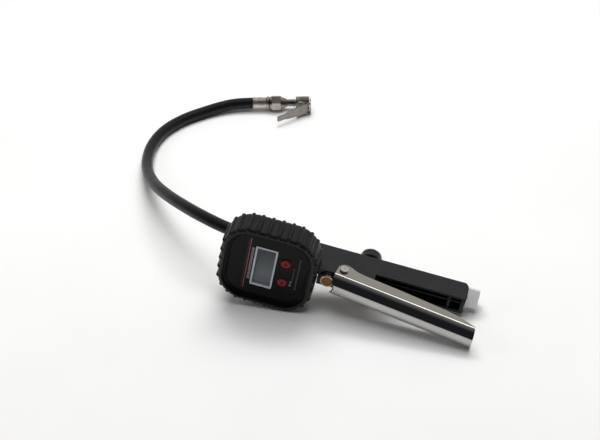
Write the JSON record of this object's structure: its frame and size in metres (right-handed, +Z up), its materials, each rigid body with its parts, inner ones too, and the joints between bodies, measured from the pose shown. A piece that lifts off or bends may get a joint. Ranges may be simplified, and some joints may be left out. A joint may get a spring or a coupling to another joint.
{
  "type": "tyre inflator with pressure gauge",
  "caption": "Hand-held tyre inflator with a digital pressure gauge in a ribbed rubber boot, a squeeze lever, a bleed button and a hose that ends in a clip-on chuck.",
  "frame": {"origin": "on the floor, under the middle of the tool without its hose and chuck, as it lies on the boot's side and the lever's end", "axes": "+X along the tool from the gauge head to the air inlet (the handle dips 10.5 degrees towards the floor), +Y away from the gauge's face, +Z up"},
  "size_m": [0.3767, 0.3538, 0.0941],
  "materials": {
    "casting_black": "satin black paint on a zinc die casting",
    "lever_chrome": "bright chrome plate on pressed steel",
    "inlet_steel": "nickel-plated steel",
    "chuck_nickel": "satin nickel plate",
    "plain_steel": "bare steel",
    "spring_steel": "spring wire",
    "button_brass": "machined brass",
    "inner_brass": "machined brass",
    "collar_dark": "blackened",
    "boot_rubber": "satin moulded rubber",
    "hose_rubber": "satin rubber",
    "seal_rubber": "seal rubber",
    "case_black": "fine-grain black plastic",
    "face_black": "glossy overlay",
    "lcd_silver": "silver coated",
    "clear_window": "clear",
    "lcd_grey": "display glass",
    "button_red": "satin red",
    "ring_red": "dark red",
    "nylon": "natural nylon",
    "switch_black": "moulded",
    "board_green": "solder mask",
    "sensor_steel": "sensor can"
  },
  "bodies": {
    "inflator_body": {"handle_casting": "casting_black", "rear_valve_cap": "casting_black", "lever_pin": "lever_chrome", "inlet_fitting": "inlet_steel", "hose_barb": "inlet_steel", "gun_ferrule": "inlet_steel", "chuck_ferrule": "chuck_nickel", "chuck_barb": "chuck_nickel", "swivel_nut": "chuck_nickel", "chuck_body": "chuck_nickel", "chuck_lever_pin": "chuck_nickel", "pin_retainer": "plain_steel", "housing_screws": "plain_steel", "board_screws": "plain_steel", "stem_nut": "plain_steel", "chuck_depressor": "plain_steel", "valve_spring": "spring_steel", "bleed_spring": "spring_steel", "chuck_lever_spring": "spring_steel", "battery_contacts": "spring_steel", "valve_seat": "inner_brass", "stem_guide": "inner_brass", "gauge_stem": "inner_brass", "inlet_strainer": "inner_brass", "bleed_collar": "collar_dark", "rubber_boot": "boot_rubber", "hose": "hose_rubber", "cap_oring": "seal_rubber", "inlet_gasket": "seal_rubber", "chuck_seal": "seal_rubber", "front_housing": "case_black", "rear_housing": "case_black", "battery_door": "case_black", "face_plate": "face_black", "lcd_frame": "lcd_silver", "lcd_window": "clear_window", "lcd_module": "lcd_grey", "button_rings": "ring_red", "pivot_washers": "nylon", "switch_bases": "switch_black", "zebra_strips": "switch_black", "circuit_board": "board_green", "pressure_sensor": "sensor_steel", "coin_cell": "sensor_steel"},
    "lever": {"lever": "lever_chrome"},
    "valve": {"push_pin": "plain_steel", "push_pin_oring": "seal_rubber", "valve_poppet": "inner_brass", "poppet_seal": "seal_rubber"},
    "bleed_button": {"bleed_button": "button_brass", "bleed_oring": "seal_rubber"},
    "power_button": {"power_button": "button_red", "power_plunger": "nylon"},
    "unit_button": {"unit_button": "button_red", "unit_plunger": "nylon"},
    "chuck_lever": {"chuck_lever": "chuck_nickel"}
  },
  "joints": [
    {"name": "lever_hinge", "type": "hinge", "parent": "inflator_body", "child": "lever", "pos_m": [-0.00607, -0.00347, 0.03466], "axis": [0.1817, 0, 0.9834], "range_deg": [0, 8], "stiffness_Nm_per_rad": 2.5, "springref_deg": -17.19},
    {"name": "valve_slide", "type": "slide", "parent": "inflator_body", "child": "valve", "axis": [0, 1, 0], "range_m": [0, 0.0032], "deforming": ["valve_spring"]},
    {"name": "bleed_press", "type": "slide", "parent": "inflator_body", "child": "bleed_button", "axis": [0, 1, 0], "range_m": [0, 0.0015], "stiffness_N_per_m": 1500, "springref_m": -0.002, "deforming": ["bleed_spring"]},
    {"name": "power_press", "type": "slide", "parent": "inflator_body", "child": "power_button", "axis": [0, 1, 0], "range_m": [0, 0.0008], "stiffness_N_per_m": 1000, "springref_m": -0.001},
    {"name": "unit_press", "type": "slide", "parent": "inflator_body", "child": "unit_button", "axis": [0, 1, 0], "range_m": [0, 0.0008], "stiffness_N_per_m": 1000, "springref_m": -0.001},
    {"name": "chuck_lever_hinge", "type": "hinge", "parent": "inflator_body", "child": "chuck_lever", "pos_m": [-0.11123, 0.29567, 0.0087], "axis": [0, 0, -1], "range_deg": [0, 20], "stiffness_Nm_per_rad": 0.3, "springref_deg": -28.65}
  ],
  "couplings": [
    {"joint": "valve_slide", "follows": "lever_hinge", "m_per_rad": 0.0219}
  ]
}
